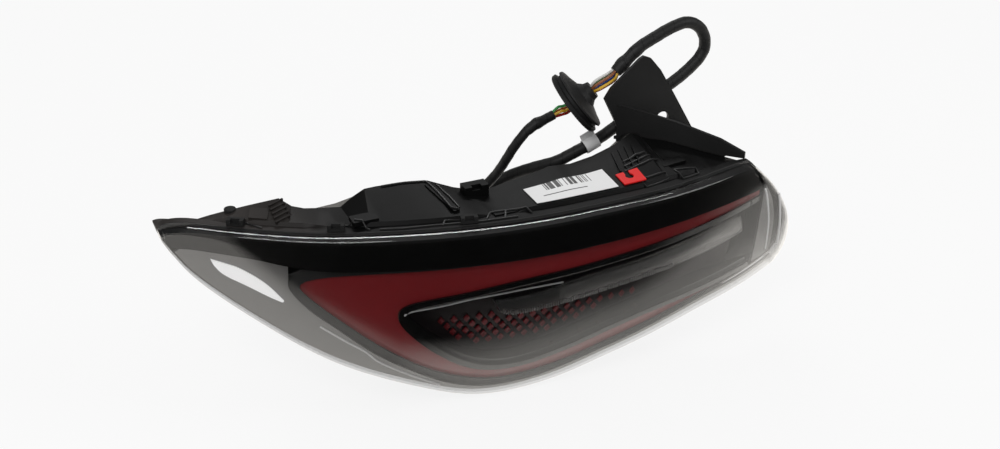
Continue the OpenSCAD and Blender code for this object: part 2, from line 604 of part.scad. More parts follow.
// Housing shell, open to the lens and solid at its tip
back_w = [0, 0.2, 0.4, 0.6, 0.8, 1];
function back_row(s, q, a, b) = [for (j = back_w)
    let (p = lerp(a, b, j), out = bow(s, j)) [p[0], back_y(p, q, out[0]), p[1]] + out];
tip_solid = 30;
function housing_ring(s) =
    let (k = s * last, a = top_at(s), b = low_at(s), q = lookup(k, squeeze), span = norm(b - a),
        w = min(housing_wall, 0.3 * span), front = skirt + bead_room, rim = min(0.3, rim_w / span),
        f = foot_point(k), r = ridge_point(k), low_shelf = shelf * q,
        slack = min(w * 0.4, (r[1] - f[1]) * 0.3),
        bt = back_top(k), bl = between(a, b, 1, -lookup(k, back_lift)),
        in_z = min(w, 0.3 * norm(bl - bt)),
        back = back_row(s, q, bt, bl),
        inside = back_row(s, q, bt - [0, in_z], bl + [0, in_z]),
        deep = concat(
            [on_face(a, b, 1, -rim_w, front + low_shelf * 0.6)],
            [for (j = [5:-1:0]) inside[j] - [0, w, 0]],
            [r - [0, slack, w * 1.2], f + [0, slack, -w * 1.2],
                on_face(a, b, 0, rim_w, front + low_shelf * 0.6)]),
        flat = [for (i = [1:10])
            let (j = lerp(1 - rim, rim, i / 11)) on_face(a, b, j, 0, front) + bow(s, j)])
    concat(
        [on_face(a, b, 0, 0.5, front), shelf_point(k), f, r], back,
        [on_face(a, b, 1, -0.5, front + low_shelf), on_face(a, b, 1, -0.5, front),
            on_face(a, b, 1 - rim, 0, front)],
        hollow(s, tip_solid) > 0 ? deep : flat,
        [on_face(a, b, rim, 0, front)]);

// Boss on the back wall with a blind hole for a stud root
module boss(x, z) {
    difference() {
        rod(x, z, -boss_h - 0.5, 0, boss_d);
        rod(x, z, -root_l - fit, 1, root_d + 2 * fit);
    }
}

// Raised mouldings on the sloping top: station, share of the slope, width, length, height, turn
mouldings = [[3.6, 0.12, 13, 1.4, 1.2, 20], [3.6, 0.3, 13, 1.4, 1.2, 20], [3.6, 0.48, 13, 1.4, 1.2, 20],
    [3.6, 0.66, 13, 1.4, 1.2, 20], [3.6, 0.84, 13, 1.4, 1.2, 20], [5.7, 0.5, 5, 42, 1.5, 11],
    [8.2, 0.62, 1.4, 28, 1.2, -12], [8.3, 0.62, 1.4, 28, 1.2, -12], [8.4, 0.62, 1.4, 28, 1.2, -12],
    [8.5, 0.6, 1.4, 26, 1.2, -12], [4.62, 0.12, 20, 12, 2, 0], [6.42, 0.08, 26, 9, 1.5, 0],
    [3.3, 0.35, 14, 12, 1.6, -24], [8.95, 0.25, 22, 9, 1.6, 8]];
module moulding(k, share, w, l, h, turn) {
    f = foot_point(k);
    r = ridge_point(k);
    root = 1.6;
    translate(top_point(k, share, 0))
    rotate([atan2(r[2] - f[2], r[1] - f[1]), 0, 0])
    rotate([0, 0, turn])
    translate([-w / 2, -l / 2, -root])
    cube([w, l, h + root]);
}

// Hook that holds the lamp to the body panel while it is fitted
hook_box = [20, 11, 11];
hook_depth = 44.5;
hook_at = [8, rim_y(at(lens_top, 6.2)) + hook_depth, 62];
module hook() {
    notch = 6;
    difference() {
        translate(hook_at) cube(hook_box);
        translate(hook_at + [notch, -1, hook_box[2] - 3]) cube([hook_box[0] - 2 * notch, 5, 4]);
    }
}
module housing() {
    color([0.1, 0.1, 0.1])
    union() {
        difference() {
            skin([for (s = stations) housing_ring(s)], [for (j = [23:-1:12]) j]);
            for (u = screw_places) side_hole(u, screw_d + 2 * fit);
        }
        boss(0, 0);
        boss(inner_stud_x, inner_stud_z);
        boss(ball_x, ball_z);
        for (m = mouldings) moulding(m[0], m[1], m[2], m[3], m[4], m[5]);
        hook();
    }
}

// Three square rubber pads on the shelf that set the gap to the car body
clip_stations = [2.85, 4.2, 5.83];
clip_w = 13;
clip_h = 5;
module edge_clips() {
    color([0.08, 0.08, 0.08])
    for (k = clip_stations)
        let (a = at(lens_top, k), clip_d = shelf * lookup(k, squeeze))
        translate([a[0], rim_y(a), a[1] - 0.5 + layer_gap])
        rotate([0, 0, atan(slope_x(a[0], a[1]))])
        difference() {
            translate([-clip_w / 2, 0.4, 0]) cube([clip_w, clip_d - 2.4, clip_h]);
            translate([-clip_w / 2 + 3, -1, 1.5]) cube([clip_w - 6, 4.5, clip_h]);
        }
}

// Two vent caps on the back wall
vents = [[-70, 8], [60, -36]];
module vent_caps() {
    vent_d = 16;
    color([0.06, 0.06, 0.06])
    for (v = vents)
        difference() {
            rod(v[0], v[1], -boss_h + layer_gap, -boss_h + 5, vent_d);
            rod(v[0], v[1], -boss_h + 3.5, -boss_h + 6, vent_d - 4);
        }
}

// Thin sheet on the sloping top between two stations and two shares of the slope
module top_sheet(k0, k1, share0, share1, lift, t, steps) {
    skin([for (i = [0:steps]) let (k = lerp(k0, k1, i / steps))
        [top_point(k, share0, lift + t), top_point(k, share1, lift + t), top_point(k, share1, lift),
            top_point(k, share0, lift)]]);
}
sheet_lift = 0.6;
module label() {
    color([0.93, 0.93, 0.92]) top_sheet(6.79, 7.96, 0.03, 0.57, sheet_lift, 0.4, 14);
}
module red_marker() {
    slot_d = 7;
    hub = top_point(8.2, 0.2, 0);
    color([0.85, 0.1, 0.1])
    difference() {
        top_sheet(8.05, 8.37, 0.03, 0.32, sheet_lift, 1, 4);
        translate(hub - [0, 0, 5]) cylinder(h = 10, d = slot_d, $fn = 48);
        translate(hub + [-slot_d / 3, 0, -5]) cube([slot_d / 1.5, 20, 10]);
    }
}

// Side bracket: a raised strip along the slanted side, an ear with the bolt hole, and a web.
// Places along the strip are shares of the side's length
side_l = norm(side_rear - side_front);
side_angle = atan2(side_rear[1] - side_front[1], side_rear[0] - side_front[0]);
module from_side() {
    translate([side_front[0], side_front[1], 0]) rotate([0, 0, side_angle]) children();
}
ear_outline = [[176, 40], [175, 68], [160, 99], [166, 108], [192, 130], [196, 132], [203, 129], [213, 117],
    [228, 92], [251, 52], [240, 44]];
strip_outline = [[0, 61], [0, 66], [0.19, 75], [0.52, 84], [0.8, 89], [1, 92], [1, 50], [0.25, 50],
    [0.14, 61]];
web_lap = 1.4;
web_outline = [[171, -23], [178, side_y(178) + web_lap], [208, side_y(208) + web_lap],
    [216, side_y(208) + web_lap + 2], [242, -23]];
web_z = 60;
module side_bracket() {
    color([0.07, 0.07, 0.07])
    difference() {
        union() {
            upright(ear_y, bracket_t) polygon(ear_outline);
            from_side() upright(-layer_gap - bracket_t, bracket_t)
                polygon([for (p = strip_outline) [p[0] * side_l, p[1]]]);
            translate([0, 0, web_z]) linear_extrude(bracket_t) polygon(web_outline);
        }
        rod(bolt_x, bolt_z, ear_y - 1, ear_y + bracket_t + 1, bolt_hole_d);
        for (u = screw_places) side_hole(u, screw_d + 2 * fit);
    }
}

// Screws that hold the strip to the housing, heads on the outside
screw_places = [0.305 * side_l, 0.79 * side_l];
screw_z = 54;
screw_l = 12;
module side_hole(u, d) {
    from_side() rod(u, screw_z, -layer_gap - bracket_t - 1, housing_wall + 3, d);
}
module bracket_screws() {
    head_h = 3;
    head_y = -2 * layer_gap - bracket_t;
    color([0.6, 0.6, 0.62])
    for (u = screw_places)
        from_side()
        union() {
            rod(u, screw_z, head_y, head_y + screw_l, screw_d);
            rod(u, screw_z, head_y - head_h, head_y, screw_head_d);
        }
}

// Fixing stud: a root in the boss and a threaded shank outside
module stud(x, z) {
    color([0.72, 0.73, 0.7])
    union() {
        rod(x, z, -root_l, 0, root_d);
        rod(x, z, -0.5, stud_l - 1, stud_d);
        translate([x, stud_l, z]) rotate([90, 0, 0])
            cylinder(h = 1, d1 = stud_d - 1.4, d2 = stud_d, $fn = 48);
    }
}
module stud_main() {
    stud(0, 0);
}
module stud_inner() {
    stud(inner_stud_x, inner_stud_z);
}

// Ball pin that snaps into a socket of the car body
module ball_pin() {
    neck_d = ball_d - 4;
    color([0.72, 0.73, 0.7])
    union() {
        rod(ball_x, ball_z, -root_l, 0, root_d);
        rod(ball_x, ball_z, -0.5, ball_l, neck_d);
        translate([ball_x, ball_l, ball_z]) sphere(d = ball_d, $fn = 48);
    }
}

// Foam washers round the stud bosses
module foam_washers() {
    color([0.2, 0.2, 0.2])
    for (p = [[0, 0], [inner_stud_x, inner_stud_z]])
        difference() {
            rod(p[0], p[1], -boss_h + layer_gap, foam_over, foam_d);
            rod(p[0], p[1], -boss_h - 1, foam_over + 1, boss_d + 2 * fit);
        }
}

// Rubber boot where the harness leaves the back wall
module exit_boot() {
    color([0.07, 0.07, 0.07])
    translate([boot_at[0], -boss_h + layer_gap, boot_at[1]])
    rotate([-90, 0, 0])
    rotate_extrude($fn = 64)
    polygon([[0, 0], [13, 0], [13, 3], [9.5, 4], [8.5, 8], [lead_d / 2 + 1.5, boot_l - 0.3],
        [0, boot_l - 0.3]]);
}

// Taped lead from the boot behind the bracket and round its loop
module lead_a() {
    color([0.06, 0.06, 0.06]) cord(lead_a_route, lead_d, 10);
}

// White tag wrapped round the lead
module lead_tag() {
    tag_at = lead_a_route[9];
    tag_dir = lead_a_route[10] - lead_a_route[8];
    tag_l = 13;
    color([0.92, 0.92, 0.9])
    translate(tag_at)
    rotate([0, acos(tag_dir[2] / norm(tag_dir)), atan2(tag_dir[1], tag_dir[0])])
    translate([0, 0, -tag_l / 2])
    difference() {
        union() {
            cylinder(h = tag_l, d = lead_d + 2.2, $fn = 48);
            translate([-lead_d / 2 - 7, -0.4, 0]) cube([8, 0.8, tag_l]);
        }
        translate([0, 0, -1]) cylinder(h = tag_l + 2, d = lead_d + 1, $fn = 48);
    }
}

// Bare wires between the taped lead and the grommet, and between the grommet and the thin lead
function beside(p, dir, r, ang) = let (u = side_of(dir, [0, 1, 0.05]), v = cross(dir, u))
    p + r * (u * cos(ang) + v * sin(ang));
module wire_group(from, from_dir, to, to_dir, count, r) {
    lead_in = 4;
    spread = 1.4;
    for (i = [0:count - 1])
        let (ang = 360 * i / count + 20)
        cord([beside(from, from_dir, r, ang), beside(from + from_dir * lead_in, from_dir, r + spread, ang),
            beside(to - to_dir * lead_in, to_dir, r + spread, ang), beside(to, to_dir, r, ang)], wire_d, 8);
}
wire_gap = 0.5;
module wires_front() {
    end = len(lead_a_route) - 1;
    dir = direction(lead_a_route, end);
    color([0.8, 0.4, 0.15])
    wire_group(lead_a_route[end] + dir * wire_gap, dir, grommet_at + grommet_dir * (grommet_l + wire_gap),
        -grommet_dir, 6, 2.9);
}
module wires_rear() {
    dir = direction(lead_b_route, 0);
    color([0.8, 0.4, 0.15])
    wire_group(grommet_at - grommet_dir * (5 + wire_gap), -grommet_dir, lead_b_route[0] - dir * wire_gap,
        dir, 4, 2.2);
}

// Round body grommet with a grooved rim and a cone
module grommet() {
    r = grommet_d / 2;
    color([0.07, 0.07, 0.07])
    translate(grommet_at)
    rotate(grommet_turn)
    rotate_extrude($fn = 96)
    polygon([[0, -5], [5, -5], [7, -1], [r - 7, -1], [r - 4, -5], [r - 1, -5], [r, -4], [r, -1.5],
        [r - 3, -0.5], [r - 3, 2], [r - 1, 3], [r - 1.5, 4.5], [r - 6, 5.5], [12, 9], [8.5, 13],
        [7.5, grommet_l], [0, grommet_l]]);
}

// Thinner taped lead from the grommet to the connector
module lead_b() {
    color([0.06, 0.06, 0.06]) cord(lead_b_route, tail_lead_d, 10);
}

// Connector at the end of the harness, behind the housing
plug_at = lead_b_route[len(lead_b_route) - 1];
plug_dir = plug_at - lead_b_route[len(lead_b_route) - 2];
plug_turn = atan2(plug_dir[2], plug_dir[0]);
module at_plug() {
    translate(plug_at) rotate([0, -plug_turn, 0]) children();
}
module far_plug() {
    cavity = 9;
    color([0.09, 0.09, 0.09])
    at_plug()
    difference() {
        union() {
            translate([0.3, 0, 0]) rotate([0, 90, 0]) cylinder(h = 8, d = 14, $fn = 48);
            translate([7, -plug_w / 2, -plug_h / 2]) cube([plug_l - 7, plug_w, plug_h]);
        }
        translate([plug_l - cavity, -plug_w / 2 + 2, -plug_h / 2 + 2])
            cube([cavity + 1, plug_w - 4, plug_h - 4]);
    }
}
module plug_lock() {
    color([0.85, 0.3, 0.1])
    at_plug()
    translate([12, -5, plug_h / 2 + 0.2])
    union() {
        cube([16, 10, 2.2]);
        translate([12, 0, 0]) cube([4, 10, 4]);
    }
}

outer_lens();
lens_border();
silver_bezel();
side_light_insert();
red_frame();
red_lens();
tail_light_guide();
tail_reflector();
tail_led_strip();
window_bezel();
end_trim();
pattern_plate();
gems();
light_blade();
blade_holder();
carrier();
main_board();
heat_sink();
driver_board();
seal_bead();
housing();
edge_clips();
vent_caps();
label();
red_marker();
side_bracket();
bracket_screws();
stud_main();
stud_inner();
ball_pin();
foam_washers();
exit_boot();
lead_a();
lead_tag();
wires_front();
grommet();
wires_rear();
lead_b();
far_plug();
plug_lock();
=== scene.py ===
import bpy
import bmesh
import json
import math
import random
from mathutils import Matrix, Vector
from mathutils.bvhtree import BVHTree


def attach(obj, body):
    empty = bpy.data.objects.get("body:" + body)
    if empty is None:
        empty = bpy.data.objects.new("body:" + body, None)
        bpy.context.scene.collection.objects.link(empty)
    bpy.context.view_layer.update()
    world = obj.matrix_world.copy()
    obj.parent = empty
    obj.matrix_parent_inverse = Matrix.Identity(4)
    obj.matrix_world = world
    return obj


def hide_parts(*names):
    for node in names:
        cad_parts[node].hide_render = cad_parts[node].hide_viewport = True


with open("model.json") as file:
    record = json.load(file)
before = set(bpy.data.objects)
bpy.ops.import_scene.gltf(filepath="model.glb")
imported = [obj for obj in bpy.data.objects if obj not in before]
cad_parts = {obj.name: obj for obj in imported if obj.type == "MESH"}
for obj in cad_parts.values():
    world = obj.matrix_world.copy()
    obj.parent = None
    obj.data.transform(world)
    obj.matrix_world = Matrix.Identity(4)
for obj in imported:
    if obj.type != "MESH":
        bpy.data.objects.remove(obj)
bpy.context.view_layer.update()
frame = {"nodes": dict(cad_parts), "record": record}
nodes = frame["nodes"]
mm = 0.001
print("frame loaded with", len(nodes), "CAD nodes")

# Camera: the photograph's view, found by fitting the outline
cameraValues = {
    "place": (-0.3591, -0.9745, 0.5537),
    "azimuth": -24.0,
    "elevation": 28.0,
    "lens": 50.0,
    "sensor": 36.0,
}


def addCamera(values):
    data = bpy.data.cameras.new("photoCamera")
    camera = bpy.data.objects.new("photoCamera", data)
    bpy.context.scene.collection.objects.link(camera)
    data.lens = values["lens"]
    data.sensor_width = values["sensor"]
    camera.location = values["place"]
    tilt = math.radians(90 - values["elevation"])
    camera.rotation_euler = (tilt, 0, math.radians(values["azimuth"]))
    bpy.context.scene.camera = camera


addCamera(cameraValues)
bpy.context.scene.view_settings.view_transform = "Standard"
print("camera set")


# Materials: Field carries one socket through a sum, Finish holds one material
class Field:
    def __init__(self, finish, socket):
        self.finish, self.socket = finish, socket

    def join(self, kind, first, second):
        return self.finish.add("Math", {"operation": kind}, {0: first, 1: second})

    def __add__(self, other):
        return self.join("ADD", self, other)

    def __sub__(self, other):
        return self.join("SUBTRACT", self, other)

    def __rsub__(self, other):
        return self.join("SUBTRACT", other, self)

    def __mul__(self, other):
        return self.join("MULTIPLY", self, other)

    def __truediv__(self, other):
        return self.join("DIVIDE", self, other)

    def __gt__(self, other):
        return self.join("GREATER_THAN", self, other)

    def __lt__(self, other):
        return self.join("LESS_THAN", self, other)

    def part(self, kind):
        return self.join(kind, self, 0.5)


class Finish:
    def __init__(self, name):
        self.material = bpy.data.materials.new(name)
        self.material.use_nodes = True
        self.tree = self.material.node_tree
        self.tree.nodes.clear()

    def add(self, kind, settings, plugs, output=0):
        node = self.tree.nodes.new("ShaderNode" + kind)
        for name, value in settings.items():
            setattr(node, name, value)
        for name, value in plugs.items():
            if isinstance(value, Field):
                self.tree.links.new(value.socket, node.inputs[name])
            else:
                node.inputs[name].default_value = value
        return Field(self, node.outputs[output])

    def place(self):
        return self.add("TexCoord", {}, {}, "Object")

    def noise(self, scale, detail, stretch=(1, 1, 1)):
        where = self.add("Mapping", {}, {"Vector": self.place(), "Scale": stretch})
        return self.add("TexNoise", {}, {"Vector": where, "Scale": scale, "Detail": detail})

    def axes(self, where=None):
        split = self.add("SeparateXYZ", {}, {0: where or self.place()})
        return [Field(self, out) for out in split.socket.node.outputs]

    def mix(self, mask, first, second):
        return self.add("Mix", {"data_type": "RGBA"}, {0: mask, 6: first, 7: second}, 2)

    def power(self, base, exponent):
        return self.add("Math", {"operation": "POWER"}, {0: base, 1: exponent})

    def bump(self, height, strength, distance):
        return self.add("Bump", {}, {"Height": height, "Strength": strength, "Distance": distance})

    def surface(self, plugs, kind="BsdfPrincipled"):
        return self.add(kind, {}, plugs)

    def done(self, shader):
        out = self.tree.nodes.new("ShaderNodeOutputMaterial")
        self.tree.links.new(shader.socket, out.inputs["Surface"])
        return self.material


def grey(level):
    return (level, level, level, 1.0)


def mouldedPlastic(name, colour, values):
    # grain and flow marks over the object, and, where asked for, a lighter, browner tint that grows towards
    # lower x
    finish = Finish(name)
    grain = finish.noise(values.get("grain", 2600), 2)
    marks = finish.noise(22, 4)
    light = [min(1, c * values.get("lift", 1.5) + 0.001) for c in colour[:3]] + [1]
    shade = finish.mix(marks, colour, light)
    if "tipTint" in values:
        x, y, z = finish.axes()
        amount = (values["tipTintFrom"] - x) * values["tipTintRate"]
        amount = finish.add("Clamp", {}, {0: amount, 1: 0.0, 2: 1.0})
        shade = finish.mix(amount, shade, values["tipTint"])
    plugs = {
        "Base Color": shade,
        "Roughness": marks * values.get("spread", 0.12) + values.get("rough", 0.45) + grain * 0.06,
        "Specular IOR Level": values.get("shine", 0.35),
        "Coat Weight": values.get("coat", 0.0),
        "Coat Roughness": 0.08,
        "Metallic": values.get("metal", 0.0),
        # painted glow: emission in the part's own colour where asked for, on parts that are no lamp
        "Emission Color": colour,
        "Emission Strength": values.get("paintedGlow", 0.0),
        "Normal": finish.bump(grain, values.get("bump", 0.15), 0.0002),
    }
    return finish.done(finish.surface(plugs))


def clearPlastic(name, values):
    # what is behind shows, and the gloss grows towards the edge as on a real clear lens
    finish = Finish(name)
    waves = finish.noise(9, 1)
    dust = finish.noise(700, 3)
    gloss = finish.surface({
        "Base Color": grey(0.9),
        "Metallic": 1.0,
        "Roughness": dust * 0.03 + values.get("rough", 0.01),
        "Normal": finish.bump(waves, 0.02, 0.002),
    })
    through = finish.surface({"Color": values.get("tint", grey(0.93))}, "BsdfTransparent")
    facing = finish.add("LayerWeight", {}, {"Blend": 0.5}, "Facing")
    share = finish.power(facing, 5.0) * 0.9 + values.get("least", 0.045) + dust * values.get("veil", 0.01)
    if "milkFrom" in values:
        x, y, z = finish.axes()
        share = share + (x > values["milkFrom"]) * values["milk"]
    return finish.done(finish.add("MixShader", {}, {0: share, 1: through, 2: gloss}))


def metal(name, colour, values):
    finish = Finish(name)
    turning = finish.noise(900, 2, (1, 8, 1))
    stain = finish.noise(60, 4)
    plugs = {
        "Base Color": finish.mix(stain, colour, [c * 0.78 for c in colour[:3]] + [1]),
        "Metallic": 1.0,
        "Roughness": turning * 0.14 + stain * 0.1 + values.get("rough", 0.25),
        "Normal": finish.bump(turning, 0.2, 0.0001),
    }
    return finish.done(finish.surface(plugs))


def rubber(name, colour, rough=0.62):
    finish = Finish(name)
    skin = finish.noise(1500, 3)
    bloom = finish.noise(45, 3)
    plugs = {
        "Base Color": finish.mix(bloom, colour, [c * 1.6 + 0.004 for c in colour[:3]] + [1]),
        "Roughness": bloom * 0.15 + rough,
        "Specular IOR Level": 0.35,
        "Normal": finish.bump(skin, 0.3, 0.0002),
    }
    return finish.done(finish.surface(plugs))


leadTurns = 95.0
tapeWeave = {"along": 5200.0, "around": 150.0, "edge": 0.07}


def tapeWrap(name):
    # cloth tape wound round the lead: a fine weave, overlaps every turn
    finish = Finish(name)
    along, around = finish.axes(finish.add("UVMap", {"uv_map": "wrap"}, {}))[:2]
    turn = (along * leadTurns + around).part("FRACT")
    lap = turn < tapeWeave["edge"]
    weave = (along * tapeWeave["along"]).part("SINE") * (around * tapeWeave["around"]).part("SINE")
    patch = finish.noise(120, 3)
    height = turn * 0.8 + weave * 0.12 + patch * 0.4
    plugs = {
        "Base Color": finish.mix(lap, grey(0.016), grey(0.006)),
        "Roughness": patch * 0.2 + 0.42,
        "Specular IOR Level": 0.4,
        "Normal": finish.bump(height, 0.5, 0.0006),
    }
    return finish.done(finish.surface(plugs))


def wireCover(name, colour):
    finish = Finish(name)
    skin = finish.noise(900, 2)
    plugs = {
        "Base Color": finish.mix(skin, colour, [c * 0.8 for c in colour[:3]] + [1]),
        "Roughness": skin * 0.1 + 0.33,
        "Normal": finish.bump(skin, 0.1, 0.0001),
    }
    return finish.done(finish.surface(plugs))


def labelPrint(name, values):
    # bare bars only: one row of plain bars across the middle and a thin rule beside it
    finish = Finish(name)
    paper = finish.noise(1800, 3)
    x, y, z = finish.axes()
    slot = ((x - values["start"]) * values["perMetre"]).part("FLOOR")
    drawn = finish.add("TexWhiteNoise", {"noise_dimensions": "1D"}, {"W": slot})
    inX = (x > values["start"]) * (x < values["end"])
    inY = (y > values["low"]) * (y < values["high"])
    rule = (((y - values["rule"]) / values["ruleWidth"]).part("ABSOLUTE") < 1.0) * (x > values["ruleStart"])
    rule = rule * (x < values["ruleEnd"])
    bars = (drawn > values["gapShare"]) * inX * inY
    ink = bars.join("MAXIMUM", bars, rule)
    plugs = {
        "Base Color": finish.mix(ink, grey(0.82), grey(0.05)),
        "Roughness": paper * 0.1 + 0.42 - ink * 0.1,
        "Normal": finish.bump(paper, 0.08, 0.0001),
    }
    return finish.done(finish.surface(plugs))


def redLensFinish(name):
    # red plastic over fine optics, its depth of red varying at random in soft clouds
    finish = Finish(name)
    x, y, z = finish.axes()
    cloud = finish.noise(9, 3)
    opticsRate = 2400.0
    optics = (x * opticsRate).part("SINE") * (z * opticsRate).part("SINE")
    plugs = {
        "Base Color": finish.mix(cloud, (0.2, 0.008, 0.011, 1), (0.3, 0.014, 0.018, 1)),
        "Roughness": cloud * 0.1 + 0.3,
        "Specular IOR Level": 0.4,
        "Coat Weight": 0.6,
        "Coat Roughness": 0.06,
        "Normal": finish.bump(optics, 0.06, 0.0002),
    }
    return finish.done(finish.surface(plugs))


def boardFinish(name):
    finish = Finish(name)
    cells = {"Scale": 190, "Vector": finish.place()}
    traces = finish.add("TexVoronoi", {"feature": "DISTANCE_TO_EDGE"}, cells)
    line = traces < 0.05
    plugs = {
        "Base Color": finish.mix(line, (0.02, 0.16, 0.07, 1), (0.05, 0.3, 0.14, 1)),
        "Roughness": line * 0.15 + 0.35,
        "Normal": finish.bump(line, 0.2, 0.0001),
    }
    return finish.done(finish.surface(plugs))


def foamFinish(name):
    finish = Finish(name)
    cells = finish.add("TexVoronoi", {}, {"Scale": 900, "Vector": finish.place()})
    plugs = {
        "Base Color": finish.mix(cells, grey(0.02), grey(0.06)),
        "Roughness": cells * 0.1 + 0.85,
        "Normal": finish.bump(cells, 0.6, 0.0006),
    }
    return finish.done(finish.surface(plugs))


finishes = {
    "clear_lens": clearPlastic("clearLensCover", {
        "tint": grey(0.88), "veil": 0.004, "milkFrom": 0.292, "milk": 0.3}),
    "black_border": mouldedPlastic("blackBorder", grey(0.0025), {"rough": 0.25, "bump": 0.03, "shine": 0.2}),
    "silver_trim": mouldedPlastic("silverPaint", grey(0.22), {
        "metal": 0.75, "rough": 0.3, "lift": 1.2, "grain": 4200, "bump": 0.05, "coat": 0.4}),
    # painted reflection: the white strip at the lens tip stands for a bright reflection and glows a little,
    # though it is no lamp
    "white_insert": mouldedPlastic("whiteInsertPaintedGlow", grey(0.95), {
        "rough": 0.3, "lift": 1.0, "bump": 0.04, "paintedGlow": 0.45}),
    "dark_trim": mouldedPlastic("darkTrim", grey(0.018), {"rough": 0.3, "bump": 0.05}),
    "red_lens": redLensFinish("redTailLens"),
    "clear_guide": clearPlastic("lightGuide", {"tint": grey(0.97)}),
    "milky": clearPlastic("milkyBlade", {"milkFrom": 0.071, "milk": 0.13, "rough": 0.3, "least": 0.05}),
    "frosted": clearPlastic("frostedFlutes", {"least": 0.4, "rough": 0.3}),
    # painted highlight: the light grey of the beads that stand for bright highlight lines
    "painted_highlight": mouldedPlastic("paintedHighlightBead", grey(0.72), {"rough": 0.3, "lift": 1.1, "coat": 0.5}),
    # painted highlight: the end trim is a real piece, made light grey to stand for bright highlight bands at
    # the lens's end
    "highlight_trim": mouldedPlastic("endTrimPaintedHighlight", grey(0.2), {"rough": 0.25, "metal": 0.5, "lift": 1.2}),
    # painted highlight: the moulded ribs are lighter than the housing they belong to, so that they show as
    # light outlines
    "rib_highlight": mouldedPlastic("ribPaintedHighlight", grey(0.016), {"rough": 0.28, "shine": 0.6, "bump": 0.1}),
    "white_reflector": mouldedPlastic("whiteReflector", grey(0.82), {"rough": 0.35, "lift": 1.0}),
    "circuit_board": boardFinish("circuitBoard"),
    "window_black": mouldedPlastic("pianoBlack", grey(0.004), {
        "rough": 0.12, "bump": 0.02, "coat": 0.7, "spread": 0.05, "lift": 1.1}),
    "patterned_black": mouldedPlastic("patternedBlack", (0.012, 0.008, 0.009, 1), {
        "rough": 0.3, "bump": 0.02}),
    "red_gem": mouldedPlastic("redGem", (0.11, 0.005, 0.008, 1), {"rough": 0.3, "coat": 0.3, "bump": 0.05}),
    "inner_black": mouldedPlastic("innerBlack", grey(0.02), {"rough": 0.55}),
    "sink_metal": metal("castSink", grey(0.62), {"rough": 0.35}),
    "seal_rubber": rubber("sealRubber", grey(0.02)),
    # the housing turns lighter and browner towards its tip, at lower x
    "housing_black": mouldedPlastic("housingPlastic", grey(0.0025), {
        "rough": 0.36, "grain": 1900, "bump": 0.2, "shine": 0.16, "lift": 1.2,
        "tipTint": (0.032, 0.028, 0.026, 1), "tipTintFrom": -0.085, "tipTintRate": 14.0}),
    "pad_rubber": rubber("padRubber", grey(0.009)),
    "label_white": labelPrint("labelPaper", {
        "start": 0.068, "end": 0.108, "perMetre": 1400, "low": -0.105, "high": -0.094,
        "rule": -0.112, "ruleWidth": 0.0006, "ruleStart": 0.062, "ruleEnd": 0.1, "gapShare": 0.42}),
    "marker_red": mouldedPlastic("markerRed", (0.72, 0.012, 0.012, 1), {
        "rough": 0.4, "lift": 1.05, "bump": 0.05}),
    "bracket_black": mouldedPlastic("bracketPlastic", grey(0.012), {
        "rough": 0.4, "grain": 1700, "bump": 0.3, "shine": 0.4, "lift": 1.8}),
    "screw_steel": metal("screwSteel", grey(0.5), {"rough": 0.25}),
    "stud_steel": metal("zincSteel", (0.62, 0.63, 0.58, 1), {"rough": 0.22}),
    "foam_black": foamFinish("foamRing"),
    "boot_rubber": rubber("bootRubber", grey(0.008), 0.5),
    "lead_tape": tapeWrap("clothTape"),
    "tag_white": mouldedPlastic("whiteTag", grey(0.78), {"rough": 0.4, "lift": 1.0, "bump": 0.05}),
    "wire_cover": wireCover("wireOrange", (0.75, 0.2, 0.03, 1)),
    "plug_black": mouldedPlastic("plugPlastic", grey(0.014), {"rough": 0.42, "bump": 0.25}),
    "lock_orange": mouldedPlastic("lockOrange", (0.72, 0.15, 0.02, 1), {"rough": 0.4, "lift": 1.05}),
}
slotOf = {part["node"]: part["material_slot"] for part in frame["record"]["subparts"]}
for name, node in nodes.items():
    node.data.materials.clear()
    node.data.materials.append(finishes[slotOf[name]])
print("finishes made for", len(slotOf), "nodes")


# Small helpers for finished pieces
def settle(piece, slotName, material=None, replaced=()):
    piece.data.materials.clear()
    piece.data.materials.append(material or finishes[slotName])
    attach(piece, "root")
    if replaced:
        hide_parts(*replaced)
    return piece


def pickOnly(piece):
    bpy.ops.object.select_all(action="DESELECT")
    piece.select_set(True)
    bpy.context.view_layer.objects.active = piece


def fromMesh(name, points, faces):
    mesh = bpy.data.meshes.new(name)
    mesh.from_pydata(points, [], faces)
    piece = bpy.data.objects.new(name, mesh)
    bpy.context.scene.collection.objects.link(piece)
    return piece


# Cords: the route points are those of the part's source, in millimetres
routeLeadA = [
    (62, 12, -6), (62, 20, -6), (65, 28, -3), (73, 31, 4), (84, 28, 13), (97, 20, 22),
    (111, 8, 31), (126, -4, 39), (141, -9, 47), (156, -10, 53), (171, -10, 60), (187, -10, 69),
    (204, -10, 80), (221, -10, 90), (238, -10, 99), (250, -10, 107), (259, -10, 115),
    (264, -10, 124), (263, -10, 135), (256, -10, 145), (244, -10, 150), (229, -10, 147),
    (214, -10, 141), (201, -10, 135), (188, -10, 125), (177, -11, 116),
]
routeLeadB = [
    (121, -7, 85), (113, -7, 82), (104, -7, 79), (96, -7, 74), (90, -6, 67), (85, -4, 59),
    (81, -2, 51), (77, 1, 42), (73, 5, 33), (67, 9, 24), (59, 11, 16), (51, 12, 8),
    (44, 13, -1), (38, 14, -10), (32, 14, -18),
]
leadValues = {"thick": 10.5, "thin": 8.5, "sides": 20, "lap": 0.225, "steps": 8, "smooth": 50}
# each knot of tape: how far along the lead, its half width and how far it stands out
knotsA = [(372, 5, 1.1), (356, 4, 0.5)]
knotsB = [(16, 4, 1.0), (24, 3, 0.5)]
grommetAt = Vector((141, -10, 95))
grommetWay = Vector((0.7405, -0.2695, 0.6157))
grommetValues = {"front": 17.5, "rear": 5.5, "frontRing": 2.9, "rearRing": 2.2}
upHint = Vector((0, 1, 0.05))


